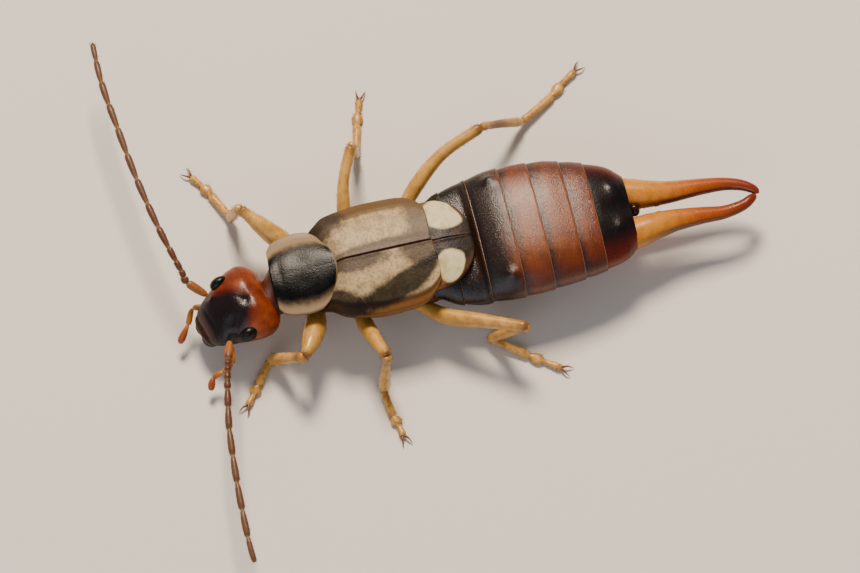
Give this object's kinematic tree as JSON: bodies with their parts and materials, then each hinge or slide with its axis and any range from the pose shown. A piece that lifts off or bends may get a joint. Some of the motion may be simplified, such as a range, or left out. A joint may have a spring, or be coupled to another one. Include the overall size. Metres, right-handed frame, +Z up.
{
  "type": "earwig",
  "caption": "Life-size still model of an adult female earwig standing on its feet, with long curved antennae, short leathery forewings, wing pads and straight forceps.",
  "frame": {"origin": "on the floor under the middle of the whole outline, antennae included", "axes": "+Y from head to forceps, +X to the animal's left, +Z up from the floor"},
  "size_m": [0.0174, 0.0187, 0.0026],
  "materials": {
    "head": "smooth glossy cuticle, chestnut behind and near black in front",
    "eye": "faceted black compound eye",
    "mouthparts": "glossy brown cuticle",
    "antenna": "matt grey-brown cuticle with fine hairs and pale joints",
    "palp": "pale amber cuticle",
    "underbody": "dull brown cuticle",
    "pronotum": "black glossy shield with pale horn-like margins",
    "tegmina": "leathery forewing, cream with grey and dark brown patches",
    "wing_pads": "leathery cream pad with a dark rim",
    "abdomen": "glossy cuticle, black at the front to red-brown behind",
    "last_ring": "glossy near-black cuticle",
    "forceps": "hard amber cuticle, red-brown to the tips",
    "legs": "yellow-brown cuticle with fine hairs",
    "feet": "yellow-brown cuticle with dense fine hairs and brown claws"
  },
  "bodies": {
    "root": {"head": "head", "eye_left": "eye", "eye_right": "eye", "labrum": "mouthparts", "mandibles": "mouthparts", "antenna_left": "antenna", "antenna_right": "antenna", "palp_left": "palp", "palp_right": "palp", "neck": "underbody", "pronotum": "pronotum", "prothorax": "underbody", "mesothorax": "underbody", "metathorax": "underbody", "tegmen_left": "tegmina", "tegmen_right": "tegmina", "wing_pad_left": "wing_pads", "wing_pad_right": "wing_pads", "abdomen_ring_1": "abdomen", "abdomen_ring_2": "abdomen", "abdomen_ring_3": "abdomen", "abdomen_ring_4": "abdomen", "abdomen_ring_5": "abdomen", "abdomen_ring_6": "abdomen", "abdomen_last_ring": "last_ring", "pygidium": "last_ring", "forceps_left": "forceps", "forceps_right": "forceps", "femur_front_right": "legs", "tibia_front_right": "legs", "foot_front_right": "feet", "femur_front_left": "legs", "tibia_front_left": "legs", "foot_front_left": "feet", "femur_middle_right": "legs", "tibia_middle_right": "legs", "foot_middle_right": "feet", "femur_middle_left": "legs", "tibia_middle_left": "legs", "foot_middle_left": "feet", "femur_hind_right": "legs", "tibia_hind_right": "legs", "foot_hind_right": "feet", "femur_hind_left": "legs", "tibia_hind_left": "legs", "foot_hind_left": "feet"}
  },
  "joints": []
}
